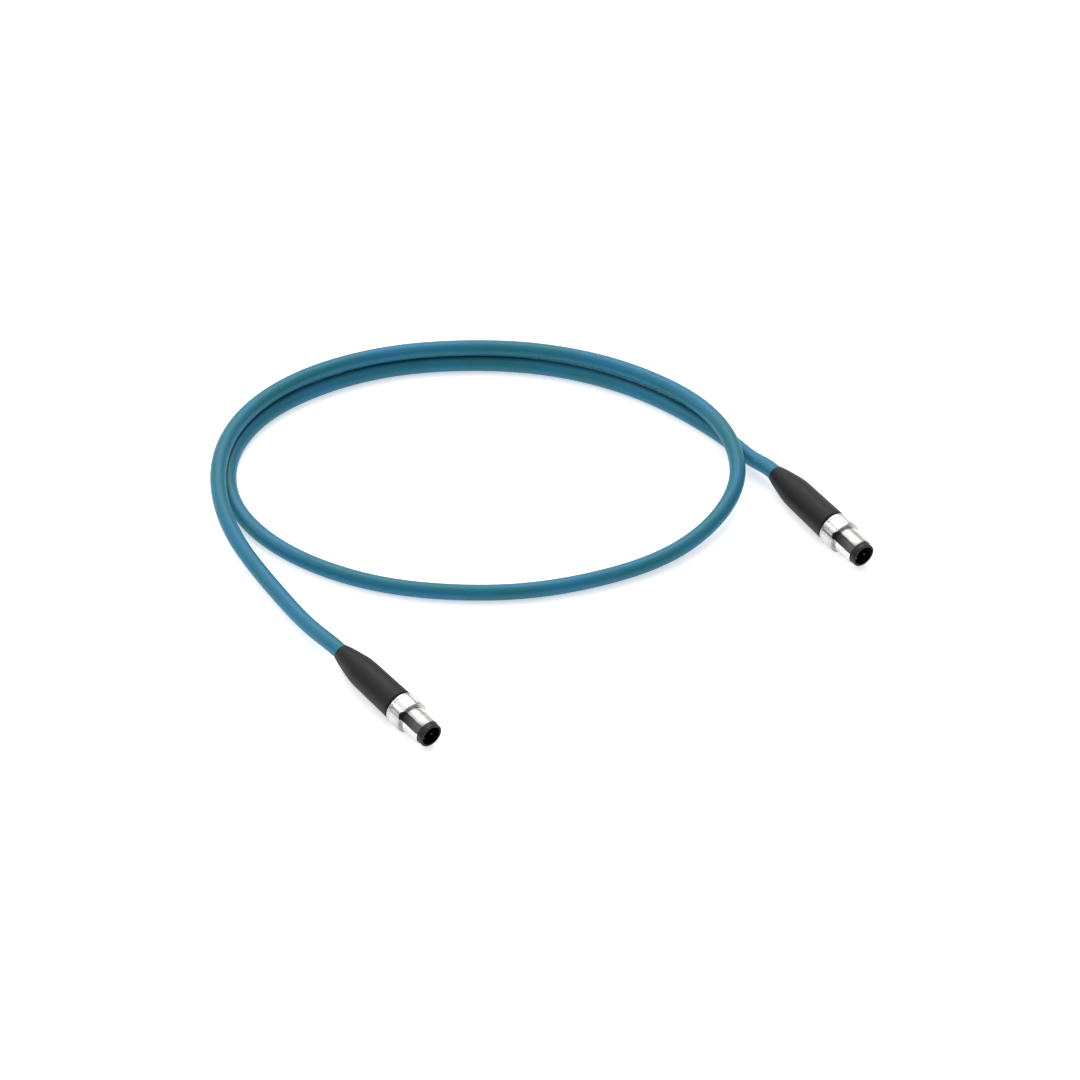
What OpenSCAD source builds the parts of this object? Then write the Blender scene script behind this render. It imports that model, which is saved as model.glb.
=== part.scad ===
// Shielded round data cable laid on a flat surface in one and a half turns,
// with the same slim screw-coupled circular plug moulded on each of its ends.
// Millimetres, +Z up. The origin lies on the surface, below the centre of the lay.
// Every plug piece is built along its own axis: u = 0 just behind the tail of the grip,
// u growing towards the contacts.

/* [Cable] */
// Outer diameter of the jacket
cable_d = 6.8; // [6.6:0.05:6.85]
// Sides of the jacket's tube
cable_sides = 12; // [8:2:12]
// How far the jacket runs into each grip
jacket_in = 13.2; // [12.8:0.1:13.3]

/* [Grip] */
// Station of the grip's front end
grip_len = 40.6; // [40.5:0.1:40.8]
// Diameter of the grip at its front end
grip_d = 13.8; // [13.5:0.1:14.2]
// Diameter of the grip's tail where the cable leaves it
tail_d = 7.6; // [7.5:0.1:7.7]

/* [Coupling ring] */
// Diameter over the knurl
ring_d = 14.6; // [14.2:0.1:14.6]
// Length of the knurled band
ring_len = 8; // [7.6:0.1:8.4]
// Number of grooves in the knurl
knurl_n = 30; // [20:2:36]
// Major diameter of the coupling thread
thread_d = 12; // [11.8:0.1:12.2]
// Length of the threaded barrel in front of the knurl
barrel_len = 10.3; // [10:0.1:10.8]
// Width of the slot along the barrel
slot_w = 4; // [3:0.1:4]
// Forward travel of the ring on the contact carrier
ring_travel = 2; // [1:0.1:2]
// Radial clearance of the ring on the carrier
ring_clear = 0.06; // [0.04:0.01:0.1]

/* [Contacts] */
// Diameter of the carrier's nose
nose_d = 10.6; // [10.4:0.1:10.6]
// Inside diameter of the nose
cup_d = 8.7; // [8.5:0.1:8.8]
// Depth of the nose's hollow
cup_depth = 8; // [7:0.1:8.5]
// Diameter of a contact pin
pin_d = 1; // [0.8:0.1:1]
// Diameter of the circle that the pins stand on
pin_circle = 5.8; // [5.4:0.1:6]

/* [Lay] */
// Height of the plug axes over the surface
plug_z = 7.3; // [7.3:0.05:7.5]
// Heading of the first plug, seen from above
yaw_a = -51.9; // [-52.4:0.1:-51.4]
// Heading of the second plug, seen from above
yaw_b = -53.8; // [-54.3:0.1:-53.3]

/* [Hidden] */

$fn = 64;
cable_r = cable_d / 2;
ring_r = ring_d / 2;
nose_r = nose_d / 2;
cup_r = cup_d / 2;
pin_r = pin_d / 2;

// Stations along a plug's axis
u_tail = 1.6;                         // rear end of the grip
u_mould = 9.3;                        // rear of the inner mould
u_boss = 27.5;                        // rear of the contact carrier
u_flange = grip_len - 2.15;           // rear face of the carrier's flange
u_seal = grip_len - 1.05;             // middle of the O-ring in the flange
u_groove = grip_len + 3.7;            // carrier's groove for the retaining ring
groove_w = ring_travel + 1.6;         // its width
u_clip = u_groove + 0.25;             // retaining ring at rest
clip_w = 1.0;
u_ring = grip_len + 0.4;              // rear face of the coupling ring at rest
u_barrel = u_ring + ring_len;         // front face of the knurled band
u_end = u_barrel + barrel_len;        // front end of the threaded barrel
u_nose = u_end + 2.7;                 // front end of the nose
u_cup = u_nose - cup_depth;           // floor of the nose's hollow
bore_r = nose_r + ring_clear;         // coupling ring's bore

// [x, y, z, heading] of each plug: the point u = 0 of its axis
plug_a = [-83.75, -63.3, plug_z, yaw_a];
plug_b = [96.5, 41.45, plug_z, yaw_b];

// The lay between the plugs: [x, y, height of the cable's underside over the surface].
// From plug A the cable drops to the surface, climbs onto the turn that is already
// there, rides on it along the left and the back, passes over the second tail at the
// right, comes down to the surface for the front, and closes the loop underneath.
lay = [
    // away from plug A
    [-93.7, -51.7, 3], [-100.5, -41.9, 1.6], [-108.8, -28.6, 0.8], [-118.9, -13.4, 1.5], [-131, 6.5, 3.8],
    // upper turn: left, back, right
    [-137.6, 33.5, 6], [-134, 60, 6.3], [-120.2, 82.3, 6.3], [-98.3, 99, 6.3], [-69.3, 110.3, 6.3],
    [-39.5, 114.1, 6.3], [-9.5, 113.9, 6.3], [20.5, 107.4, 6.3], [45.3, 95.8, 6.3], [66.2, 80.1, 6.7],
    [79.3, 59.4, 7.5],
    // down to the surface and along the front
    [83.8, 35, 5], [71.4, 11.2, 2], [50.6, -7.5, 0.5], [22, -19, 0], [-7, -26, 0],
    [-37, -26.5, 0], [-67, -22.5, 0], [-95.5, -11, 0],
    // lower turn: left and back
    [-117.8, 6, 0], [-132, 28, 0], [-133, 54.5, 0], [-120, 79.5, 0], [-95, 97.1, 0],
    [-67, 108, 0], [-37, 111.6, 0], [-6.5, 110.5, 0], [21, 103.6, 0], [42.7, 93.2, 0],
    // under the upper turn and up to plug B
    [59.2, 81.5, 0], [71.8, 70.6, 0], [81.2, 60.8, 0.2], [87.1, 51.2, 1.8]
];

// A point on a plug's axis
function along(p, u) = [p[0] + u * cos(p[3]), p[1] + u * sin(p[3]), p[2]];
inside = [jacket_in + 8, jacket_in, 4.6, -4];
route = concat([for (u = inside) along(plug_a, u)],
               [for (q = lay) [q[0], q[1], q[2] + cable_r]],
               [for (i = [3:-1:0]) along(plug_b, inside[i])]);

// Uniform cubic B-spline through the route
function bend(a, b, c, d, t) =
    (pow(1 - t, 3) * a + (3 * pow(t, 3) - 6 * t * t + 4) * b
     + (-3 * pow(t, 3) + 3 * t * t + 3 * t + 1) * c + pow(t, 3) * d) / 6;
function slope(a, b, c, d, t) =
    (-pow(1 - t, 2) * a + (3 * t * t - 4 * t) * b + (-3 * t * t + 2 * t + 1) * c + t * t * d) / 2;
spans = len(route) - 3;
// One ring where the route's points are close, two where they are far apart
stops = concat([for (i = [0:spans - 1])
                    let (n = norm(route[i + 2] - route[i + 1]) > 16 ? 2 : 1)
                    for (k = [0:n - 1]) [i, k / n]],
               [[spans - 1, 1]]);
function unit(v) = v / norm(v);
function ring(s) =
    let (i = s[0],
         p = bend(route[i], route[i + 1], route[i + 2], route[i + 3], s[1]),
         t = unit(slope(route[i], route[i + 1], route[i + 2], route[i + 3], s[1])),
         side = unit(cross(t, [0, 0, 1])),
         up = cross(side, t))
    [for (k = [0:cable_sides - 1])
        let (a = 360 * k / cable_sides - 90) p + cable_r * (cos(a) * side + sin(a) * up)];

// ---------- cable ----------

module cable_jacket() {
    n = len(stops);
    m = cable_sides;
    points = [for (s = stops) each ring(s)];
    walls = [for (i = [0:n - 2], k = [0:m - 1])
                let (a = i * m + k, b = i * m + (k + 1) % m) each [[a, b, b + m], [a, b + m, a + m]]];
    color([0.16, 0.42, 0.53])
        polyhedron(points = points,
                   faces = concat([[for (k = [m - 1:-1:0]) k]], walls, [[for (k = [0:m - 1]) (n - 1) * m + k]]),
                   convexity = 8);
}

// ---------- plug ----------

// Puts a plug piece on its axis: +z of the piece runs along the plug, +x points down
module on_plug(p) translate([p[0], p[1], p[2]]) rotate([0, 0, p[3]]) rotate([0, 90, 0]) children();

// The four places on the pin circle
module at_pins() for (a = [45:90:315]) rotate([0, 0, a]) children();

// Moulded grip: bullet-shaped, with the strain relief drawn into its tail
module grip() {
    f = grip_d / 13.6;
    color([0.13, 0.13, 0.14]) rotate_extrude()
        polygon([[cable_r + 0.05, u_tail], [tail_d / 2 - 0.2, u_tail], [tail_d / 2, u_tail + 0.2], [4.3 * f, 4],
                 [4.74 * f, 6], [5.15 * f, 8], [5.54 * f, 10], [5.9 * f, 12], [6.2 * f, 14], [6.4 * f, 16],
                 [6.5 * f, 19], [6.56 * f, 24], [6.64 * f, 30], [6.8 * f, 38.6], [6.74 * f, 39.7], [6.45 * f, grip_len],
                 [5.05, grip_len], [5.05, u_flange], [5.5, u_flange], [5.5, 15], [4.65, u_mould],
                 [cable_r + 0.05, u_mould]]);
}

// Inner mould: seals the crimp and fills the grip
module inner_mould() {
    color([0.2, 0.2, 0.21]) rotate_extrude()
        polygon([[cable_r + 0.05, u_mould + 0.05], [4.6, u_mould + 0.05], [5.45, 15], [5.45, u_flange - 0.02],
                 [4.55, u_flange - 0.02], [4.55, 22.1], [4.35, 19.3], [4.35, jacket_in + 0.6],
                 [cable_r + 0.05, jacket_in + 0.4]]);
}

// Shield sleeve: its neck goes under the braid, its bell round the contact carrier
module shield_sleeve() {
    color([0.75, 0.75, 0.73]) rotate_extrude()
        polygon([[2.6, 13.4], [3, 13.4], [3, 19.6], [4.5, 22.2], [4.5, u_flange - 0.02],
                 [4.05, u_flange - 0.02], [4.05, 22.4], [2.6, 19.8]]);
}

// Braid, combed out over the sleeve's neck
module braid_end() {
    color([0.7, 0.68, 0.62]) translate([0, 0, 13.6]) difference() {
        cylinder(r = 3.38, h = 5.6);
        translate([0, 0, -1]) cylinder(r = 3.02, h = 8);
    }
}

// Hexagonally crimped ferrule over the braid
module crimp_ferrule() {
    color([0.78, 0.78, 0.76]) translate([0, 0, 14.2]) difference() {
        cylinder(r = 4.3, h = 4.6, $fn = 6);
        translate([0, 0, -1]) cylinder(r = 3.42, h = 7);
    }
}

// Four insulated cores from the jacket to the solder cups
module core_wires() {
    r0 = 1.3;
    r1 = pin_circle / 2;
    a = atan2(r1 - r0, 3.4);
    color([0.85, 0.55, 0.15]) at_pins() {
        translate([r0, 0, 13.25]) cylinder(r = 0.75, h = 6.55, $fn = 32);
        translate([r0, 0, 19.8]) sphere(r = 0.8, $fn = 32);
        translate([r0, 0, 19.8]) rotate([0, a, 0]) cylinder(r = 0.75, h = norm([r1 - r0, 3.4]), $fn = 32);
        translate([r1, 0, 23.2]) sphere(r = 0.8, $fn = 32);
        translate([r1, 0, 23.2]) cylinder(r = 0.75, h = 0.9, $fn = 32);
        translate([r1, 0, 23.6]) cylinder(r = 0.5, h = 2.8, $fn = 32);
    }
}

// Contact carrier: rear boss, sealed flange, neck under the coupling ring, hollow nose with its key
module contact_carrier() {
    color([0.06, 0.06, 0.06]) difference() {
        union() {
            rotate_extrude()
                polygon([[0, u_boss], [4, u_boss], [4, u_flange], [5, u_flange], [5, u_seal - 0.5], [4.12, u_seal - 0.5],
                         [4.12, u_seal + 0.5], [5, u_seal + 0.5], [5, grip_len], [nose_r, grip_len], [nose_r, u_groove],
                         [4.5, u_groove], [4.5, u_groove + groove_w], [nose_r, u_groove + groove_w],
                         [nose_r, u_nose - 0.3], [nose_r - 0.3, u_nose], [cup_r + 0.25, u_nose],
                         [cup_r, u_nose - 0.25], [cup_r, u_cup], [0, u_cup]]);
            rotate([0, 0, 180]) translate([cup_r - 0.7, -0.55, u_cup - 0.5]) cube([1, 1.1, cup_depth - 0.4]);
        }
        at_pins() translate([pin_circle / 2, 0, u_boss - 1]) cylinder(r = pin_r, h = u_cup - u_boss + 2);
    }
}

// Four contact pins with their solder cups
module contact_pins() {
    color([0.85, 0.68, 0.3]) at_pins() translate([pin_circle / 2, 0, 0]) {
        translate([0, 0, u_boss - 0.05]) cylinder(r = pin_r, h = u_nose - 2.6 - u_boss, $fn = 32);
        translate([0, 0, u_nose - 2.65]) sphere(r = pin_r, $fn = 32);
        translate([0, 0, 24.6]) difference() {
            cylinder(r = 0.85, h = u_boss - 24.6);
            translate([0, 0, -1]) cylinder(r = 0.55, h = 2.9);
        }
    }
}

// O-ring that seals the carrier in the grip
module carrier_seal() {
    color([0.1, 0.1, 0.1]) translate([0, 0, u_seal]) rotate_extrude() translate([4.58, 0]) circle(r = 0.44);
}

// Split spring ring: keeps the coupling ring on the carrier, slides with it and lets it turn
module retaining_ring() {
    color([0.7, 0.7, 0.7]) translate([0, 0, u_clip]) difference() {
        cylinder(r = 6.1, h = clip_w);
        translate([0, 0, -1]) cylinder(r = 4.56, h = clip_w + 2);
        translate([0, -1.2, -1]) cube([8, 2.4, clip_w + 2]);
    }
}

// Coupling ring: knurled band and threaded barrel turned from one piece, slotted at one side
module coupling_ring() {
    thread_r = thread_d / 2;
    color([0.86, 0.86, 0.84]) difference() {
        rotate_extrude()
            polygon([[bore_r + 0.3, u_ring], [ring_r - 0.5, u_ring], [ring_r, u_ring + 0.5], [ring_r, u_barrel - 0.5],
                     [ring_r - 0.4, u_barrel], [thread_r - 0.25, u_barrel], [thread_r - 0.25, u_barrel + 0.9],
                     [thread_r, u_barrel + 1.1], [thread_r, u_end - 0.4], [thread_r - 0.4, u_end], [bore_r, u_end],
                     [bore_r, u_clip + clip_w + 0.1], [6.16, u_clip + clip_w + 0.1], [6.16, u_clip - 0.1],
                     [bore_r, u_clip - 0.1], [bore_r, u_ring + 0.3]]);
        for (i = [0:knurl_n - 1]) rotate([0, 0, (i + 0.5) * 360 / knurl_n])
            translate([ring_r + 0.05, 0, u_ring + 1.1]) cylinder(r = 0.35, h = ring_len - 2.2, $fn = 24);
        rotate([0, 0, 228]) {
            translate([4, -slot_w / 2, u_barrel + 0.9]) cube([4, slot_w, barrel_len]);
            translate([4, 0, u_barrel + 0.9]) rotate([0, 90, 0]) cylinder(r = slot_w / 2 + 0.1, h = 4);
        }
    }
}

cable_jacket();

on_plug(plug_a) grip();  // grip_a
on_plug(plug_a) inner_mould();  // inner_mould_a
on_plug(plug_a) shield_sleeve();  // shield_sleeve_a
on_plug(plug_a) crimp_ferrule();  // crimp_ferrule_a
on_plug(plug_a) braid_end();  // braid_end_a
on_plug(plug_a) core_wires();  // core_wires_a
on_plug(plug_a) contact_carrier();  // contact_carrier_a
on_plug(plug_a) contact_pins();  // contact_pins_a
on_plug(plug_a) carrier_seal();  // carrier_seal_a
on_plug(plug_a) retaining_ring();  // retaining_ring_a
on_plug(plug_a) coupling_ring();  // coupling_ring_a

on_plug(plug_b) grip();  // grip_b
on_plug(plug_b) inner_mould();  // inner_mould_b
on_plug(plug_b) shield_sleeve();  // shield_sleeve_b
on_plug(plug_b) crimp_ferrule();  // crimp_ferrule_b
on_plug(plug_b) braid_end();  // braid_end_b
on_plug(plug_b) core_wires();  // core_wires_b
on_plug(plug_b) contact_carrier();  // contact_carrier_b
on_plug(plug_b) contact_pins();  // contact_pins_b
on_plug(plug_b) carrier_seal();  // carrier_seal_b
on_plug(plug_b) retaining_ring();  // retaining_ring_b
on_plug(plug_b) coupling_ring();  // coupling_ring_b
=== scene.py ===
"""Looks of a teal screw-coupled data cable, lying in one and a half turns on a pale floor.

Lengths are in millimetres in the tables below and become metres when a mesh is made.
Each plug piece is built along the plug's own axis: local +Z runs from the tail of the
grip to the contacts, local +X points down, and the object's matrix puts it in place.
"""

import math

import bmesh
import bpy
from mathutils import Matrix, Vector


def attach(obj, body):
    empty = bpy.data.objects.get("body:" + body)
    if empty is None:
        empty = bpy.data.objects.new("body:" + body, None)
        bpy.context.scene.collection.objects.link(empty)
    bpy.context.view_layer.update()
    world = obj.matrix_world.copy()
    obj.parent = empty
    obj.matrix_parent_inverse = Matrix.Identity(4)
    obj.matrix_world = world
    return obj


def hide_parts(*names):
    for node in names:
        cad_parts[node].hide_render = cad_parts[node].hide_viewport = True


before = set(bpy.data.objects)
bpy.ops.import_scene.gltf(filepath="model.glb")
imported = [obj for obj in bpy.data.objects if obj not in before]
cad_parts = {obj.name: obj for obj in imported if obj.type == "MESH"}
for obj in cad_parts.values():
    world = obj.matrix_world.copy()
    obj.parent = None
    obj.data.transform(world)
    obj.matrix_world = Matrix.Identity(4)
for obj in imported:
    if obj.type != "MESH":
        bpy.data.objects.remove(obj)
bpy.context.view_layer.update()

MM = 0.001
TAU = 2 * math.pi

# ---------- camera ----------

TARGET = Vector((-0.0013, 0.0081, 0.0))
DISTANCE = 3.753
camera_data = bpy.data.cameras.new("camera")
camera_data.sensor_width = 36
camera_data.lens = 300
camera_data.clip_start = 0.05
camera_data.clip_end = 60
camera = bpy.data.objects.new("camera", camera_data)
camera.rotation_euler = (math.radians(45), 0, 0)
camera.location = TARGET + DISTANCE * Vector((0, -math.sqrt(0.5), math.sqrt(0.5)))
bpy.context.scene.collection.objects.link(camera)
bpy.context.scene.camera = camera


# ---------- node helper ----------


class Finish:
    """A material whose Principled shader is fed by small procedural chains."""

    def __init__(self, name, **constants):
        self.material = bpy.data.materials.new(name)
        self.material.use_nodes = True
        self.tree = self.material.node_tree
        self.tree.nodes.clear()
        self.output = self.add("ShaderNodeOutputMaterial")
        self.shader = self.add("ShaderNodeBsdfPrincipled")
        self.wire(self.shader, "BSDF", self.output, "Surface")
        for socket, value in constants.items():
            self.shader.inputs[socket.replace("_", " ")].default_value = value

    def add(self, kind, **settings):
        node = self.tree.nodes.new(kind)
        for key, value in settings.items():
            setattr(node, key, value)
        return node

    def wire(self, source, output, target, socket):
        self.tree.links.new(source.outputs[output], target.inputs[socket])

    def feed(self, value, target, socket):
        """value is a number or an output socket."""
        if isinstance(value, bpy.types.NodeSocket):
            self.tree.links.new(value, target.inputs[socket])
        else:
            target.inputs[socket].default_value = value

    def place(self, kind="Object", attribute=None):
        """Coordinates in millimetres: of the object, or those stored on the mesh."""
        if attribute:
            node = self.add("ShaderNodeAttribute", attribute_name=attribute)
            return node.outputs["Vector"]
        node = self.add("ShaderNodeTexCoord")
        return self.scaled(node.outputs[kind], (1000, 1000, 1000))

    def scaled(self, vector, by, turn=(0, 0, 0), shift=(0, 0, 0)):
        node = self.add("ShaderNodeMapping")
        self.feed(vector, node, "Vector")
        node.inputs["Location"].default_value = shift
        node.inputs["Rotation"].default_value = turn
        node.inputs["Scale"].default_value = by
        return node.outputs["Vector"]

    def noise(self, vector, scale, detail=2.0, rough=0.5):
        node = self.add("ShaderNodeTexNoise")
        self.feed(vector, node, "Vector")
        node.inputs["Scale"].default_value = scale
        node.inputs["Detail"].default_value = detail
        node.inputs["Roughness"].default_value = rough
        return node.outputs["Fac"]

    def cells(self, vector, scale, feature="F1"):
        node = self.add("ShaderNodeTexVoronoi", feature=feature)
        self.feed(vector, node, "Vector")
        node.inputs["Scale"].default_value = scale
        return node.outputs["Distance"]

    def span(self, value, low, high, to_low, to_high, smooth=True):
        node = self.add("ShaderNodeMapRange")
        node.interpolation_type = "SMOOTHSTEP" if smooth else "LINEAR"
        self.feed(value, node, "Value")
        node.inputs["From Min"].default_value = low
        node.inputs["From Max"].default_value = high
        node.inputs["To Min"].default_value = to_low
        node.inputs["To Max"].default_value = to_high
        return node.outputs["Result"]

    def sum(self, *values, operation="ADD"):
        total = values[0]
        for value in values[1:]:
            node = self.add("ShaderNodeMath", operation=operation)
            self.feed(total, node, 0)
            self.feed(value, node, 1)
            total = node.outputs[0]
        return total

    def one(self, operation, value):
        node = self.add("ShaderNodeMath", operation=operation)
        self.feed(value, node, 0)
        return node.outputs[0]

    def parts(self, vector):
        node = self.add("ShaderNodeSeparateXYZ")
        self.feed(vector, node, "Vector")
        return node.outputs["X"], node.outputs["Y"], node.outputs["Z"]

    def blend(self, share, first, second):
        node = self.add("ShaderNodeMix", data_type="RGBA")
        self.feed(share, node, "Factor")
        for socket, value in ((node.inputs[6], first), (node.inputs[7], second)):
            if isinstance(value, bpy.types.NodeSocket):
                self.tree.links.new(value, socket)
            else:
                socket.default_value = (*value, 1)
        return node.outputs[2]

    def raised(self, height, depth_mm, under=None):
        """A bump whose height runs from 0 to 1 over depth_mm."""
        node = self.add("ShaderNodeBump")
        node.inputs["Strength"].default_value = 1.0
        node.inputs["Distance"].default_value = depth_mm * MM
        self.feed(height, node, "Height")
        if under is not None:
            self.feed(under, node, "Normal")
        return node.outputs["Normal"]

    def use(self, color=None, roughness=None, normal=None):
        for socket, value in (("Base Color", color), ("Roughness", roughness), ("Normal", normal)):
            if value is not None:
                self.feed(value, self.shader, socket)
        return self.material


def tone(r, g, b):
    """A linear colour from sRGB 0 to 255."""
    return tuple(c / 12.92 if c <= 0.04045 else ((c + 0.055) / 1.055) ** 2.4 for c in (r / 255, g / 255, b / 255))


# ---------- mesh helpers ----------


def smooth(mesh, angle=32):
    """Smooth faces, with edges over the angle kept sharp."""
    shape = bmesh.new()
    shape.from_mesh(mesh)
    bmesh.ops.remove_doubles(shape, verts=shape.verts, dist=1e-7)
    bmesh.ops.recalc_face_normals(shape, faces=shape.faces)
    for face in shape.faces:
        face.smooth = True
    for edge in shape.edges:
        edge.smooth = len(edge.link_faces) == 2 and edge.calc_face_angle() < math.radians(angle)
    shape.to_mesh(mesh)
    shape.free()
    return mesh


def skin(name, loops, closed=False, caps=False):
    """A mesh of quads between loops that have equally many points, in millimetres."""
    m, n = len(loops[0]), len(loops)
    points = [tuple(c * MM for c in p) for loop in loops for p in loop]
    faces = []
    for i in range(n if closed else n - 1):
        j = (i + 1) % n
        for k in range(m):
            l = (k + 1) % m
            faces.append((i * m + k, i * m + l, j * m + l, j * m + k))
    if caps:
        faces.append(tuple(range(m - 1, -1, -1)))
        faces.append(tuple((n - 1) * m + k for k in range(m)))
    mesh = bpy.data.meshes.new(name)
    mesh.from_pydata(points, [], faces)
    mesh.validate()
    return mesh


def turned(profile, angles):
    """Loops of a lathe: profile is (radius, station), where the radius may depend on the angle."""
    return [
        [
            ((r(a, u) if callable(r) else r) * math.cos(a), (r(a, u) if callable(r) else r) * math.sin(a), u)
            for a in angles
        ]
        for r, u in profile
    ]


def even(n):
    return [TAU * k / n for k in range(n)]


def arc(centre, radius, start, end, n):
    """Points of a fillet in a profile; the angles are in degrees from +radius towards +station."""
    steps = [math.radians(start + (end - start) * k / n) for k in range(n + 1)]
    return [(centre[0] + radius * math.cos(a), centre[1] + radius * math.sin(a)) for a in steps]


def line(a, b, n):
    """n points from a on, without b."""
    return [tuple(p + (q - p) * k / n for p, q in zip(a, b)) for k in range(n)]


def flow(points, step):
    """A smooth, non-overshooting curve through (radius, station) points, station by station."""
    u = [p[1] for p in points]
    r = [p[0] for p in points]
    d = [(r[i + 1] - r[i]) / (u[i + 1] - u[i]) for i in range(len(u) - 1)]
    m = [d[0]] + [0.0 if a * b <= 0 else 2 * a * b / (a + b) for a, b in zip(d, d[1:])] + [d[-1]]
    out = []
    for i in range(len(u) - 1):
        h = u[i + 1] - u[i]
        n = max(1, math.ceil(h / step))
        for k in range(n):
            t = k / n
            out.append(
                (
                    (2 * t**3 - 3 * t**2 + 1) * r[i]
                    + (t**3 - 2 * t**2 + t) * h * m[i]
                    + (3 * t**2 - 2 * t**3) * r[i + 1]
                    + (t**3 - t**2) * h * m[i + 1],
                    u[i] + t * h,
                )
            )
    return out + [points[-1]]


def ease(x, low, high):
    """0 below low, 1 above high, smooth in between."""
    t = min(1.0, max(0.0, (x - low) / (high - low)))
    return t * t * (3 - 2 * t)


def put(mesh, name, material, matrix=None):
    obj = bpy.data.objects.new(name, mesh)
    obj.data.materials.append(material)
    bpy.context.scene.collection.objects.link(obj)
    if matrix is not None:
        obj.matrix_world = matrix
    return obj


def carved(mesh, name, tools):
    """The mesh after boolean steps: tools is [(operation, mesh)]."""
    scene = bpy.context.scene
    body = bpy.data.objects.new(name + "_blank", mesh)
    scene.collection.objects.link(body)
    helpers = []
    for k, (operation, tool) in enumerate(tools):
        helper = bpy.data.objects.new(f"{name}_tool_{k}", tool)
        scene.collection.objects.link(helper)
        helpers.append(helper)
        step = body.modifiers.new(f"step_{k}", "BOOLEAN")
        step.operation, step.object, step.solver = operation, helper, "EXACT"
    bpy.context.view_layer.update()
    result = bpy.data.meshes.new_from_object(body.evaluated_get(bpy.context.evaluated_depsgraph_get()))
    result.name = name
    for obj in [body, *helpers]:
        old = obj.data
        bpy.data.objects.remove(obj)
        bpy.data.meshes.remove(old)
    result.materials.clear()
    return result


def merged(name, meshes):
    """One mesh from several separate ones."""
    shape = bmesh.new()
    for mesh in meshes:
        shape.from_mesh(mesh)
    result = bpy.data.meshes.new(name)
    shape.to_mesh(result)
    shape.free()
    for mesh in meshes:
        bpy.data.meshes.remove(mesh)
    return result


def rotated(mesh, degrees, shift=(0, 0, 0)):
    mesh.transform(Matrix.Rotation(math.radians(degrees), 4, "Z") @ Matrix.Translation(Vector(shift) * MM))
    return mesh


# ---------- the cable's route, as in the CAD source ----------

CABLE_R = 3.4
PLUG_A = (-83.75, -63.3, 7.3, -51.9)
PLUG_B = (96.5, 41.45, 7.3, -53.8)
INSIDE = (21.2, 13.2, 4.6, -4)
LAY = [
    # away from plug A
    (-93.7, -51.7, 3), (-100.5, -41.9, 1.6), (-108.8, -28.6, 0.8), (-118.9, -13.4, 1.5), (-131, 6.5, 3.8),
    # upper turn: left, back, right
    (-137.6, 33.5, 6), (-134, 60, 6.3), (-120.2, 82.3, 6.3), (-98.3, 99, 6.3), (-69.3, 110.3, 6.3),
    (-39.5, 114.1, 6.3), (-9.5, 113.9, 6.3), (20.5, 107.4, 6.3), (45.3, 95.8, 6.3), (66.2, 80.1, 6.7),
    (79.3, 59.4, 7.5),
    # down to the surface and along the front
    (83.8, 35, 5), (71.4, 11.2, 2), (50.6, -7.5, 0.5), (22, -19, 0), (-7, -26, 0),
    (-37, -26.5, 0), (-67, -22.5, 0), (-95.5, -11, 0),
    # lower turn: left and back
    (-117.8, 6, 0), (-132, 28, 0), (-133, 54.5, 0), (-120, 79.5, 0), (-95, 97.1, 0),
    (-67, 108, 0), (-37, 111.6, 0), (-6.5, 110.5, 0), (21, 103.6, 0), (42.7, 93.2, 0),
    # under the upper turn and up to plug B
    (59.2, 81.5, 0), (71.8, 70.6, 0), (81.2, 60.8, 0.2), (87.1, 51.2, 1.8),
]


def along(plug, u):
    a = math.radians(plug[3])
    return Vector((plug[0] + u * math.cos(a), plug[1] + u * math.sin(a), plug[2]))


def seat(plug):
    """Matrix from a plug's own frame to the row frame, in metres."""
    a = math.radians(plug[3])
    x, y, z = Vector((0, 0, -1)), Vector((-math.sin(a), math.cos(a), 0)), Vector((math.cos(a), math.sin(a), 0))
    matrix = Matrix((x, y, z)).transposed().to_4x4()
    matrix.translation = Vector(plug[:3]) * MM
    return matrix


ROUTE = (
    [along(PLUG_A, u) for u in INSIDE]
    + [Vector((x, y, lift + CABLE_R)) for x, y, lift in LAY]
    + [along(PLUG_B, u) for u in reversed(INSIDE)]
)


def spline(step):
    """(point, direction) along the uniform cubic B-spline of the route, about a step apart."""
    out = []
    for i in range(len(ROUTE) - 3):
        a, b, c, d = ROUTE[i : i + 4]
        n = max(1, round((c - b).length / step))
        for k in range(n + (i == len(ROUTE) - 4)):
            t = k / n
            point = (
                (1 - t) ** 3 * a
                + (3 * t**3 - 6 * t**2 + 4) * b
                + (-3 * t**3 + 3 * t**2 + 3 * t + 1) * c
                + t**3 * d
            ) / 6
            heading = (
                -((1 - t) ** 2) * a + (3 * t**2 - 4 * t) * b + (-3 * t**2 + 2 * t + 1) * c + t**2 * d
            ) / 2
            out.append((point, heading.normalized()))
    return out


def cable_mesh():
    """The jacket: round, with the faint rise and fall that the twisted cores give it."""
    sides, loops, stored, run = 40, [], [], 0.0
    rings = spline(1.0)
    for i, (point, heading) in enumerate(rings):
        run += (point - rings[i - 1][0]).length if i else 0.0
        side = heading.cross(Vector((0, 0, 1))).normalized()
        up = side.cross(heading)
        loop = []
        for k in range(sides):
            a = TAU * k / sides - TAU / 4
            dip = 0.011 * (1 - math.cos(4 * a - TAU * run / 46)) + 0.006 * (1 - math.cos(a + TAU * run / 131))
            loop.append(point + (CABLE_R - dip) * (math.cos(a) * side + math.sin(a) * up))
            stored.append((run, CABLE_R * math.cos(a), CABLE_R * math.sin(a)))
        loops.append(loop)
    mesh = skin("cable", loops, caps=True)
    where = mesh.attributes.new("tube", "FLOAT_VECTOR", "POINT")
    where.data.foreach_set("vector", [c for p in stored for c in p])
    for face in mesh.polygons:
        face.use_smooth = len(face.vertices) == 4
    return mesh, [point for point, _ in rings]


# ---------- finishes ----------


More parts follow.
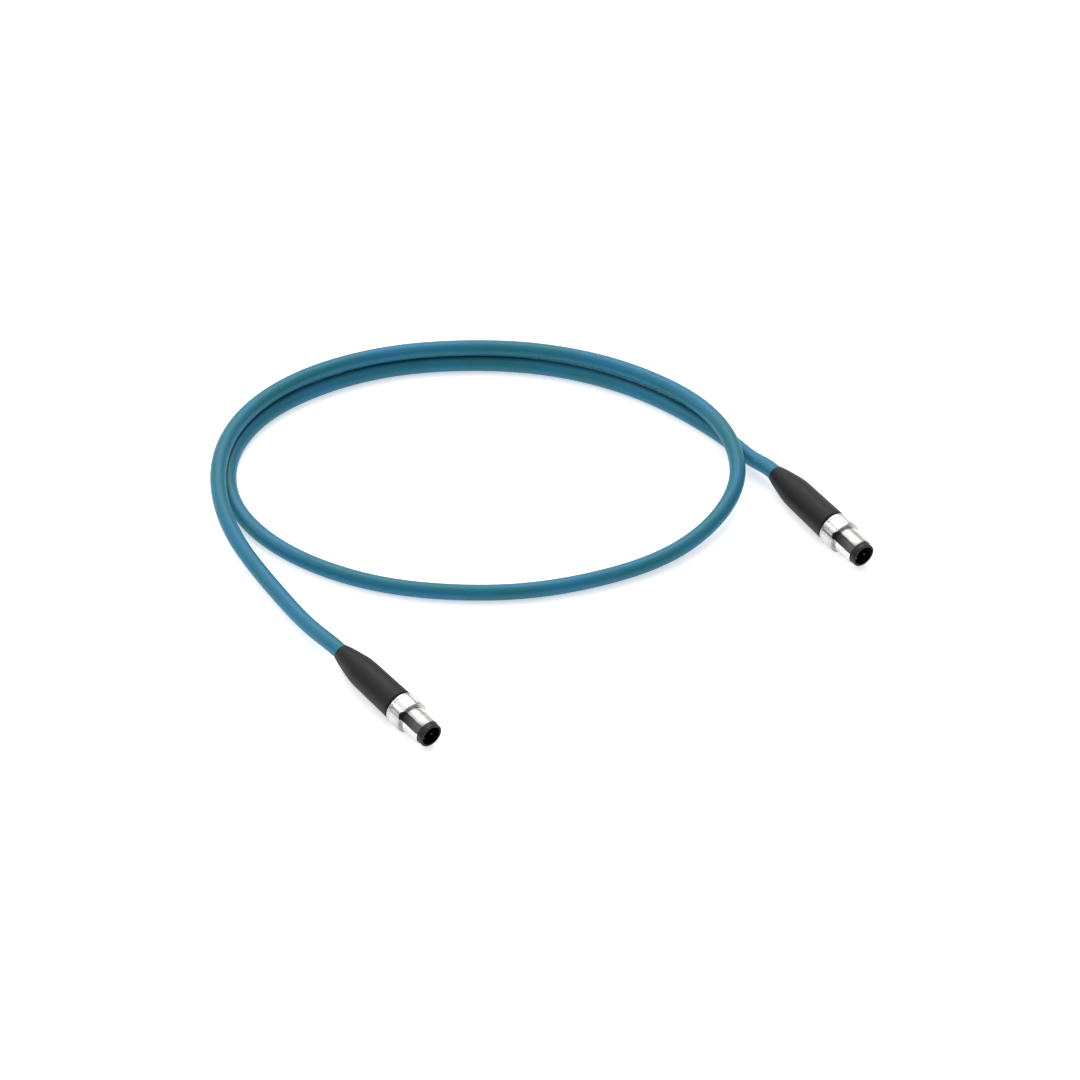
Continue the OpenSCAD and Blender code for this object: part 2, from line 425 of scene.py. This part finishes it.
def jacket_finish():
    f = Finish("jacket_teal_finish", Specular_IOR_Level=0.28)
    at = f.place(attribute="tube")
    broad = f.noise(f.scaled(at, (0.035, 0.12, 0.12)), 1.0, 3.0)
    streak = f.noise(f.scaled(at, (0.06, 1.6, 1.6)), 1.0, 3.0, 0.6)
    grain = f.noise(at, 3.2, 2.0)
    peel = f.noise(at, 1.1, 2.0)
    tint = f.blend(f.span(broad, 0.35, 0.65, 0, 1), tone(25, 107, 122), tone(29, 111, 144))
    tint = f.blend(f.span(streak, 0.45, 0.8, 0, 0.35), tint, tone(40, 122, 146))
    scuff = f.span(f.noise(f.scaled(at, (0.25, 0.9, 0.9)), 1.0, 5.0, 0.7), 0.62, 0.75, 0, 0.22)
    tint = f.blend(scuff, tint, tone(76, 142, 162))
    rough = f.sum(f.span(peel, 0.3, 0.7, 0.36, 0.46), f.span(streak, 0.3, 0.8, 0.0, 0.08))
    bump = f.raised(peel, 0.012)
    bump = f.raised(grain, 0.006, bump)
    bump = f.raised(streak, 0.008, bump)
    return f.use(tint, rough, bump)


def grip_finish():
    f = Finish("grip_black_finish", Specular_IOR_Level=0.28)
    at = f.place()
    spark = f.noise(at, 5.5, 3.0, 0.65)
    fine = f.cells(at, 7.0)
    broad = f.noise(at, 0.12, 3.0)
    tint = f.blend(f.span(broad, 0.35, 0.65, 0, 1), tone(9, 9, 10), tone(15, 15, 16))
    dust = f.span(f.noise(at, 0.9, 6.0, 0.7), 0.58, 0.78, 0, 0.35)
    tint = f.blend(dust, tint, tone(36, 36, 35))
    rough = f.sum(f.span(spark, 0.3, 0.7, 0.46, 0.60), f.span(broad, 0.3, 0.7, -0.03, 0.03))
    bump = f.raised(spark, 0.03)
    bump = f.raised(fine, 0.015, bump)
    return f.use(tint, rough, bump)


def carrier_finish():
    f = Finish("carrier_black_finish", Specular_IOR_Level=0.3)
    at = f.place()
    broad = f.noise(at, 0.3, 4.0)
    flow_marks = f.noise(f.scaled(at, (1.2, 1.2, 0.3)), 1.0, 3.0)
    fleck = f.noise(at, 9.0, 2.0)
    tint = f.blend(f.span(broad, 0.3, 0.7, 0, 1), tone(7, 7, 8), tone(12, 12, 13))
    tint = f.blend(f.span(fleck, 0.66, 0.8, 0, 0.25), tint, tone(30, 30, 30))
    # painted sheen: under the ring, the carrier's outer surface is painted lighter grey, rising towards the front
    # and most just behind the slot's mouth, so the slot shows a lighter stripe
    x, y, z = f.parts(at)
    out = f.span(f.sum(f.sum(x, x, operation="MULTIPLY"), f.sum(y, y, operation="MULTIPLY")), 25, 27, 0, 1)
    painted_sheen_in_slot = f.sum(f.span(z, U_BARREL, U_END - 1, 0.15, 0.8), f.span(z, U_END - 0.4, U_END, 1, 0), out, operation="MULTIPLY")
    # the painted sheen's lighter grey
    tint = f.blend(painted_sheen_in_slot, tint, tone(92, 92, 94))
    rough = f.span(flow_marks, 0.3, 0.7, 0.38, 0.52)
    bump = f.raised(fleck, 0.006, f.raised(flow_marks, 0.01))
    return f.use(tint, rough, bump)


def nickel_finish():
    f = Finish("nickel_finish", Metallic=1.0)
    at = f.place()
    x, y, z = f.parts(at)
    # turning marks run round the axis, so they change with the station and hardly with the angle
    lathe = f.noise(f.scaled(at, (0.12, 0.12, 9.0)), 1.0, 3.0, 0.65)
    cloud = f.noise(at, 0.35, 4.0, 0.6)
    speck = f.noise(at, 4.0, 4.0, 0.7)
    tint = f.blend(f.span(cloud, 0.3, 0.7, 0, 1), tone(204, 203, 201), tone(222, 221, 219))
    tint = f.blend(f.span(speck, 0.62, 0.8, 0, 0.4), tint, tone(172, 170, 165))
    # painted shade: the knurled band is painted darker than the barrel, for the shade in its grooves, and its
    # front face and the thread relief behind it are painted darker still, for the shade where ring and barrel meet
    # painted shade over the whole knurled band
    tint = f.blend(f.span(z, U_BARREL + 0.1, U_BARREL - 0.1, 0, 0.5), tint, tone(150, 150, 150))
    # painted shade on the ring's front face and the thread relief, where ring and barrel meet
    face = f.sum(f.span(z, U_BARREL - 0.3, U_BARREL - 0.1, 0, 1), f.span(z, U_BARREL + 0.5, U_BARREL + 0.8, 1, 0), operation="MULTIPLY")
    tint = f.blend(f.sum(face, 0.4, operation="MULTIPLY"), tint, tone(110, 110, 112))
    rough = f.sum(f.span(lathe, 0.3, 0.7, 0.20, 0.30), f.span(cloud, 0.3, 0.7, -0.03, 0.05))
    bump = f.raised(speck, 0.004, f.raised(lathe, 0.004))
    return f.use(tint, rough, bump)


def gold_finish():
    f = Finish("contact_gold_finish", Metallic=1.0)
    at = f.place()
    drawn = f.noise(f.scaled(at, (4.0, 4.0, 0.4)), 1.0, 3.0)
    cloud = f.noise(at, 1.2, 3.0)
    tint = f.blend(f.span(cloud, 0.3, 0.7, 0, 1), tone(150, 116, 58), tone(176, 140, 76))
    rough = f.span(drawn, 0.3, 0.7, 0.20, 0.34)
    return f.use(tint, rough, f.raised(drawn, 0.004))


def metal_finish(name, dark, light, rough_low, rough_high, stretch=(1, 1, 1)):
    f = Finish(name, Metallic=1.0)
    at = f.place()
    drawn = f.noise(f.scaled(at, stretch), 1.4, 4.0, 0.6)
    cloud = f.noise(at, 0.5, 3.0)
    tint = f.blend(f.span(cloud, 0.3, 0.7, 0, 1), tone(*dark), tone(*light))
    return f.use(tint, f.span(drawn, 0.3, 0.7, rough_low, rough_high), f.raised(drawn, 0.01))


def mould_finish():
    f = Finish("mould_grey_finish", Specular_IOR_Level=0.4)
    at = f.place()
    cloud = f.noise(at, 0.4, 4.0)
    sink = f.noise(at, 1.6, 3.0)
    tint = f.blend(f.span(cloud, 0.3, 0.7, 0, 1), tone(92, 93, 95), tone(112, 113, 114))
    return f.use(tint, f.span(sink, 0.3, 0.7, 0.42, 0.6), f.raised(sink, 0.03))


def rubber_finish():
    f = Finish("seal_rubber_finish", Specular_IOR_Level=0.35)
    at = f.place()
    cloud = f.noise(at, 0.8, 4.0)
    grain = f.noise(at, 6.0, 3.0)
    tint = f.blend(f.span(cloud, 0.3, 0.7, 0, 1), tone(20, 20, 20), tone(31, 31, 31))
    return f.use(tint, f.span(grain, 0.3, 0.7, 0.6, 0.8), f.raised(grain, 0.01))


def braid_finish(plug):
    """Tinned wires in crossing bundles, laid out on the plug's own axis."""
    f = Finish("tinned_braid_finish_" + plug, Metallic=1.0)
    at = own_place(f, plug)
    x, y, z = f.parts(at)
    turn = f.add("ShaderNodeMath", operation="ARCTAN2")
    f.feed(y, turn, 0)
    f.feed(x, turn, 1)
    around = f.sum(turn.outputs[0], 24 / TAU * 0.5, operation="MULTIPLY")
    lift = f.sum(z, 0.62, operation="MULTIPLY")
    one_way = f.one("SINE", f.sum(f.sum(around, lift), TAU, operation="MULTIPLY"))
    other = f.one("SINE", f.sum(f.sum(around, f.sum(lift, -1.0, operation="MULTIPLY")), TAU, operation="MULTIPLY"))
    weave = f.span(f.sum(one_way, other, operation="MAXIMUM"), -0.2, 1.0, 0, 1)
    cloud = f.noise(at, 1.5, 3.0)
    tint = f.blend(weave, tone(88, 86, 80), tone(206, 203, 192))
    tint = f.blend(f.span(cloud, 0.45, 0.75, 0, 0.3), tint, tone(150, 140, 118))
    return f.use(tint, f.span(weave, 0, 1, 0.5, 0.3), f.raised(weave, 0.09))


def core_finish(plug):
    """Four insulated cores, each quarter in its own colour."""
    f = Finish("core_insulation_finish_" + plug, Specular_IOR_Level=0.5)
    at = own_place(f, plug)
    x, y, z = f.parts(at)
    low = f.one("SIGN", x)
    left = f.one("SIGN", y)
    share_x = f.span(low, -1, 1, 0, 1)
    share_y = f.span(left, -1, 1, 0, 1)
    above = f.blend(share_y, tone(214, 120, 24), tone(232, 230, 222))
    below = f.blend(share_y, tone(34, 84, 160), tone(220, 190, 40))
    tint = f.blend(share_x, above, below)
    bare = f.span(z, 24.15, 24.2, 0, 1)
    tint = f.blend(bare, tint, tone(186, 180, 168))
    grain = f.noise(at, 3.0, 3.0)
    return f.use(tint, f.span(grain, 0.3, 0.7, 0.3, 0.45), f.raised(grain, 0.01))


def own_place(f, plug):
    """Millimetres on the plug's axis, for a CAD node, whose coordinates are those of the row frame."""
    back = seat(PLUG_A if plug == "a" else PLUG_B).inverted()
    node = f.add("ShaderNodeTexCoord")
    turned_to = f.scaled(node.outputs["Object"], (1, 1, 1), tuple(back.to_euler("XYZ")), tuple(back.translation))
    return f.scaled(turned_to, (1000, 1000, 1000))


# ---------- plug pieces, on the plug's own axis ----------

U_TAIL = 1.6
GRIP_LEN = 40.6
U_RING = 41.0
U_BARREL = 49.0
U_END = 59.3
U_NOSE = 62.0
U_CUP = 54.0
U_GROOVE, GROOVE_W = 44.3, 3.6
U_CLIP = 44.55
U_BOSS = 27.5
U_FLANGE = 38.45
U_SEAL = 39.55
RING_R = 7.3
THREAD_R = 6.0
BORE_R = 5.36
NOSE_R = 5.3
CUP_R = 4.35
PIN_CIRCLE = 2.9
SLOT_AT = 228
SLOT_W = 4.0


def grip_mesh():
    """Moulded grip: bullet-shaped, with a rolled lip at the tail and a witness line on both sides."""
    outer = flow(
        [(3.8, U_TAIL + 0.3), (4.36, 4), (4.81, 6), (5.23, 8), (5.62, 10), (5.99, 12), (6.29, 14), (6.49, 16),
         (6.6, 19), (6.66, 24), (6.74, 30), (6.9, 38.6)],
        0.5,
    )
    seam = [math.radians(s + d) for s in (90, 270) for d in (-2.2, -1.1, -0.7, -0.35, 0, 0.35, 0.7, 1.1, 2.2)]
    angles = sorted(
        [a for a in even(120) if all(abs(math.degrees(a) - s) > 2.4 for s in (90, 270))] + seam
    )

    def ridge(r):
        def radius(a, u):
            off = min(abs(math.degrees(a) - 90), abs(math.degrees(a) - 270))
            return r + 0.035 * (1 - ease(off, 0.3, 1.1)) * ease(u, 2.2, 3.6) * (1 - ease(u, 38.4, 39.4))

        return radius

    profile = (
        [(3.43, 9.3), (3.43, U_TAIL + 0.08)]
        + arc((3.5, U_TAIL + 0.07), 0.07, 180, 270, 3)
        + arc((3.56, U_TAIL + 0.24), 0.24, 272, 352, 6)
        + [(ridge(r), u) for r, u in outer]
        + [(ridge(6.9), 39.2)]
        + arc((5.9, 39.6), 1.0, 4, 90, 9)
        + [(5.35, 40.6)]
        + arc((5.35, 40.3), 0.3, 90, 180, 4)
        + [(5.05, U_FLANGE), (5.5, U_FLANGE), (5.5, 15), (4.65, 9.3)]
    )
    return smooth(skin("grip", turned(profile, angles), closed=True), 40)


def ring_mesh():
    """Coupling ring: straight-knurled band and threaded barrel in one piece, with a round-ended slot along the barrel."""
    pitch_angle = 360 / 30
    spots = (-2.55, -1.9, -1.0, 0.0, 1.0, 1.9, 2.55, 6.0)
    angles = [math.radians((k + 0.5) * pitch_angle + s) % TAU for k in range(30) for s in spots]
    angles.sort()

    def knurl(r):
        def radius(a, u):
            off = (math.degrees(a) / pitch_angle - 0.5) % 1.0
            off = min(off, 1 - off) * pitch_angle
            depth = 0.34 * math.sqrt(max(0.0, 1 - (off / 2.55) ** 2))
            fade = ease(u, U_RING + 0.75, U_RING + 1.45) * (1 - ease(u, U_BARREL - 1.45, U_BARREL - 0.75))
            return r - depth * fade

        return radius

    root = 5.62

    def thread(a, u):
        phase = (u - U_BARREL - a / TAU) % 1.0
        height = ease(min(phase, 1 - phase), 0.06, 0.40)
        r = THREAD_R - (THREAD_R - root) * height
        # lead-in at the front, run-out into the relief at the rear
        r = min(r, THREAD_R - 0.05 - 0.9 * (u - (U_END - 0.55)))
        return root + (r - root) * ease(u, U_BARREL + 0.95, U_BARREL + 1.25)

    band = []
    for k in range(11):
        band.append((knurl(RING_R), U_RING + 0.62 + 0.09 * k))
    for k in range(14):
        band.append((knurl(RING_R), U_RING + 1.7 + (RING_LEN_BAND - 3.4) * (k + 0.5) / 14))
    for k in range(11):
        band.append((knurl(RING_R), U_BARREL - 1.52 + 0.09 * k))
    teeth = []
    steps = 200
    for k in range(steps + 1):
        u = U_BARREL + 0.9 + (U_END - 0.02 - U_BARREL - 0.9) * k / steps
        teeth.append((thread, u))
    profile = (
        [(BORE_R, U_RING + 0.3), (BORE_R + 0.3, U_RING)]
        + [(BORE_R + 0.9, U_RING), (RING_R - 0.62, U_RING)]
        + arc((RING_R - 0.55, U_RING + 0.55), 0.55, 278, 358, 6)
        + band
        + arc((RING_R - 0.45, U_BARREL - 0.45), 0.45, 2, 88, 6)
        + [(RING_R - 0.6, U_BARREL), (root + 0.2, U_BARREL)]
        + arc((root + 0.15, U_BARREL + 0.15), 0.15, 270, 180, 3)
        + [(root, U_BARREL + 0.6)]
        + teeth
        + [(root - 0.12, U_END), (BORE_R + 0.12, U_END), (BORE_R, U_END - 0.12)]
        + [(BORE_R, U_CLIP + 1.1), (6.16, U_CLIP + 1.1), (6.16, U_CLIP - 0.1), (BORE_R, U_CLIP - 0.1)]
    )
    blank = skin("ring", turned(profile, angles), closed=True)

    # slot cutter with a deburred rim: round end towards the band, open at the front
    def outline(extra):
        half, end, centre, n = SLOT_W / 2 + extra, SLOT_W / 2 + 0.1 + extra, U_BARREL + 0.9, 28
        lead = math.acos(half / end)
        turn = [lead - (math.pi + 2 * lead) * k / n for k in range(n + 1)]
        points = [(end * math.cos(a), centre + end * math.sin(a)) for a in turn]
        return [(half, U_END + 1), *points, (-half, U_END + 1)]

    cutter = skin("slot", [[(h, y, u) for y, u in outline(e)] for h, e in ((4.4, 0), (5.72, 0), (6.12, 0.14), (8, 0.14))], caps=True)
    cutter = smooth(rotated(cutter, SLOT_AT))
    ring = carved(smooth(blank), "ring", [("DIFFERENCE", cutter)])
    return smooth(ring, 38)


RING_LEN_BAND = U_BARREL - U_RING


def carrier_mesh():
    """Contact carrier: boss, flange, neck, groove, and the hollow nose with its key and pin collars."""
    key = [math.radians(180 + d) for d in (-8.6, -8.0, -7.3, -6.4, -3, 0, 3, 6.4, 7.3, 8.0, 8.6)]
    angles = sorted([a for a in even(96) if abs(math.degrees(a) - 180) > 9] + key)

    def wall(a, u):
        side = CUP_R * abs(math.sin(a - math.pi)) if abs(a - math.pi) < 0.5 else 9
        return CUP_R - 0.68 * (1 - ease(side, 0.47, 0.62)) * (1 - ease(u, U_NOSE - 1.25, U_NOSE - 0.95))

    stations = [U_NOSE - 0.3] + [U_NOSE - 0.9 - 0.05 * k for k in range(9)] + [U_NOSE - 3, U_NOSE - 5, U_CUP + 0.3]
    profile = (
        [(0.4, U_BOSS), (3.8, U_BOSS), (4, U_BOSS + 0.2), (4, U_FLANGE), (5, U_FLANGE), (5, U_SEAL - 0.5), (4.12, U_SEAL - 0.5),
         (4.12, U_SEAL + 0.5), (5, U_SEAL + 0.5), (5, GRIP_LEN), (NOSE_R, GRIP_LEN), (NOSE_R, U_GROOVE), (4.5, U_GROOVE),
         (4.5, U_GROOVE + GROOVE_W), (NOSE_R, U_GROOVE + GROOVE_W), (NOSE_R, U_END - 0.6)]
        + line((NOSE_R, U_END - 0.3), (NOSE_R, U_NOSE - 0.35), 6)
        + arc((NOSE_R - 0.35, U_NOSE - 0.35), 0.35, 0, 90, 6)
        + arc((CUP_R + 0.2, U_NOSE - 0.2), 0.2, 90, 180, 4)
        + [(wall, u) for u in stations]
        + arc((CUP_R - 0.25, U_CUP + 0.25), 0.25, 0, -90, 3)
        + [(3.6, U_CUP), (1.2, U_CUP), (0.9, U_CUP - 0.25), (0.3, U_CUP - 0.25)]
    )
    blank = smooth(skin("carrier", turned(profile, angles), caps=True))
    tools = []
    for a in (45, 135, 225, 315):
        collar = turned(
            [(0.2, U_CUP - 1), (0.95, U_CUP - 1), (0.95, U_CUP + 0.32)]
            + arc((0.83, U_CUP + 0.38), 0.12, 10, 90, 3)
            + [(0.2, U_CUP + 0.5)],
            even(32),
        )
        collar = smooth(skin("collar", collar, caps=True))
        tools.append(("UNION", rotated(collar, a, (PIN_CIRCLE, 0, 0))))
    for a in (45, 135, 225, 315):
        hole = smooth(skin("hole", turned([(0.51, U_BOSS - 1), (0.51, U_CUP + 1)], even(32)), caps=True))
        tools.append(("DIFFERENCE", rotated(hole, a, (PIN_CIRCLE, 0, 0))))
    return smooth(carved(blank, "carrier", tools), 38)


def pin_meshes():
    """Four turned pins with tapered tips and hollow solder cups."""
    tip = U_NOSE - 2.15
    profile = (
        [(0.12, 26.5), (0.55, 26.5), (0.55, 24.75), (0.6, 24.6), (0.8, 24.6), (0.85, 24.68), (0.85, U_BOSS - 0.08),
         (0.8, U_BOSS), (0.5, U_BOSS)]
        + line((0.5, U_BOSS + 0.3), (0.5, tip - 1.0), 6)
        + [(0.5, tip - 1.0), (0.485, tip - 0.75), (0.45, tip - 0.5), (0.40, tip - 0.32), (0.32, tip - 0.16),
           (0.22, tip - 0.06), (0.12, tip - 0.01), (0.05, tip)]
    )
    pins = []
    for a in (45, 135, 225, 315):
        pins.append(rotated(skin("pin", turned(profile, even(32)), caps=True), a, (PIN_CIRCLE, 0, 0)))
    return smooth(merged("pins", pins), 32)


# ---------- make the pieces ----------

finishes = {
    "jacket_teal": jacket_finish(),
    "grip_black": grip_finish(),
    "carrier_black": carrier_finish(),
    "nickel": nickel_finish(),
    "contact_gold": gold_finish(),
    "mould_grey": mould_finish(),
    "seal_rubber": rubber_finish(),
    "plated_sleeve": metal_finish("plated_sleeve_finish", (186, 184, 176), (206, 204, 196), 0.25, 0.42),
    "spring_steel": metal_finish("spring_steel_finish", (150, 150, 152), (178, 178, 180), 0.22, 0.4),
}

mesh, centres = cable_mesh()
cable = put(mesh, "cable", finishes["jacket_teal"])
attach(cable, "lead")
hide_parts("cable_jacket")

meshes = {"grip": grip_mesh(), "ring": ring_mesh(), "carrier": carrier_mesh(), "pins": pin_meshes()}
for side, plug in (("a", PLUG_A), ("b", PLUG_B)):
    for name, node, slot, body in (
        ("grip", "grip", "grip_black", "lead"),
        ("carrier", "contact_carrier", "carrier_black", "lead"),
        ("pins", "contact_pins", "contact_gold", "lead"),
        ("ring", "coupling_ring", "nickel", "coupling_" + side),
    ):
        piece = put(meshes[name].copy(), f"{name}_{side}_made", finishes[slot], seat(plug))
        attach(piece, body)
        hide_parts(f"{node}_{side}")
    for node, finish in (
        ("inner_mould", finishes["mould_grey"]),
        ("shield_sleeve", finishes["plated_sleeve"]),
        ("crimp_ferrule", finishes["plated_sleeve"]),
        ("braid_end", braid_finish(side)),
        ("core_wires", core_finish(side)),
        ("carrier_seal", finishes["seal_rubber"]),
        ("retaining_ring", finishes["spring_steel"]),
    ):
        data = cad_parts[f"{node}_{side}"].data
        data.materials.clear()
        data.materials.append(finish)
for spare in meshes.values():
    bpy.data.meshes.remove(spare)

# ---------- floor, light ----------

floor_mesh = bpy.data.meshes.new("floor")
floor_mesh.from_pydata([(-9, -9, 0), (9, -9, 0), (9, 9, 0), (-9, 9, 0)], [], [(0, 1, 2, 3)])
f = Finish("floor_finish", Specular_IOR_Level=0.1, Emission_Strength=0.5)
speck = f.noise(f.place(), 0.05, 3.0)
f.use(f.blend(f.span(speck, 0.3, 0.7, 0, 1), (0.93, 0.93, 0.93), (0.95, 0.95, 0.95)), 0.85, None)
floor = put(floor_mesh, "floor", f.material)
floor.location.z = -0.00002

world = bpy.data.worlds.new("studio")
bpy.context.scene.world = world
world.use_nodes = True
tree = world.node_tree
sky = tree.nodes["Background"] if "Background" in tree.nodes else tree.nodes.new("ShaderNodeBackground")
where = tree.nodes.new("ShaderNodeTexCoord")
split = tree.nodes.new("ShaderNodeSeparateXYZ")
ramp = tree.nodes.new("ShaderNodeValToRGB")
tree.links.new(where.outputs["Generated"], split.inputs[0])
back_share = tree.nodes.new("ShaderNodeMath")
back_share.operation = "MULTIPLY_ADD"
back_share.inputs[1].default_value = 0.6
tree.links.new(split.outputs["Y"], back_share.inputs[0])
tree.links.new(split.outputs["Z"], back_share.inputs[2])
tree.links.new(back_share.outputs[0], ramp.inputs[0])
tree.links.new(ramp.outputs[0], sky.inputs["Color"])
ramp.color_ramp.elements[0].position = 0.1
ramp.color_ramp.elements[0].color = (0.3, 0.3, 0.31, 1)
ramp.color_ramp.elements[1].position = 0.95
ramp.color_ramp.elements[1].color = (1, 1, 1, 1)
sky.inputs["Strength"].default_value = 0.85


def softbox(name, location, size, power, colour=(1, 1, 1)):
    data = bpy.data.lights.new(name, "AREA")
    data.shape = "RECTANGLE"
    data.size, data.size_y = size
    data.energy = power
    data.color = colour
    lamp = bpy.data.objects.new(name, data)
    lamp.location = location
    aim = Vector((0, 0.03, 0)) - Vector(location)
    lamp.rotation_euler = aim.to_track_quat("-Z", "Y").to_euler()
    bpy.context.scene.collection.objects.link(lamp)
    return lamp


softbox("key", (-0.2, 1.9, 2.4), (3.0, 2.2), 72)
softbox("fill", (-2.2, 0.1, 1.9), (1.4, 1.4), 16)

view = bpy.context.scene.view_settings
view.view_transform = "Standard"
view.look = "None"
view.exposure = 0.0
view.gamma = 1.0
